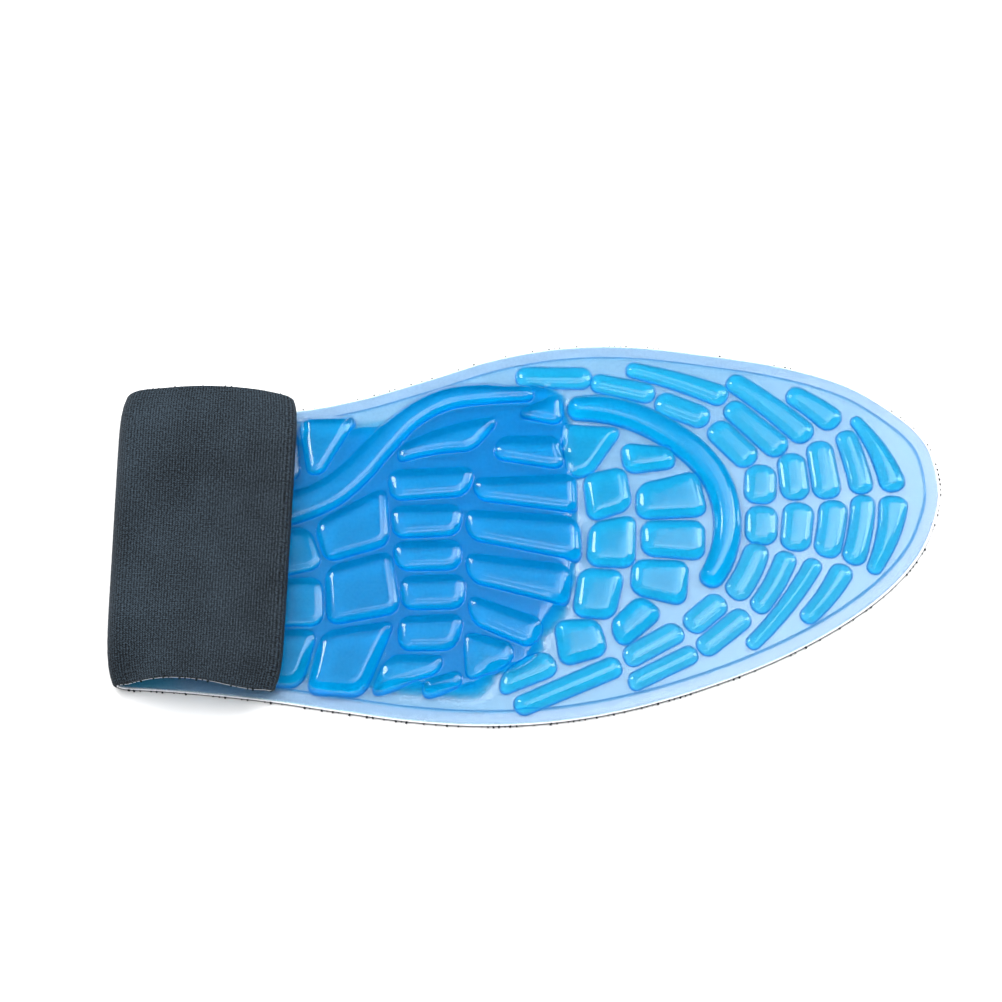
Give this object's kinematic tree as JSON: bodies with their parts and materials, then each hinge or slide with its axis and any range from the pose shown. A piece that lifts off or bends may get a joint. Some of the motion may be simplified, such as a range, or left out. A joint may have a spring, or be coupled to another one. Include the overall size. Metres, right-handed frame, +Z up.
{
  "type": "sports insole",
  "caption": "Shoe insole with a moulded gel underside of raised cushioning cells bonded to a knit top cloth, lying gel side up with the heel end rolled over",
  "frame": {"origin": "under the middle of the rolled insole, on the surface that it lies on", "axes": "+X points to the toe, +Y to the inner edge of the foot, +Z up"},
  "size_m": [0.1902, 0.096, 0.0118],
  "materials": {
    "blue_gel": "clear blue cushioning gel, soft and glossy, paler where it is thin",
    "black_knit": "matt black knit cloth with a white reverse"
  },
  "bodies": {
    "root": {"gel_sole": "blue_gel", "top_cloth": "black_knit"}
  },
  "joints": []
}
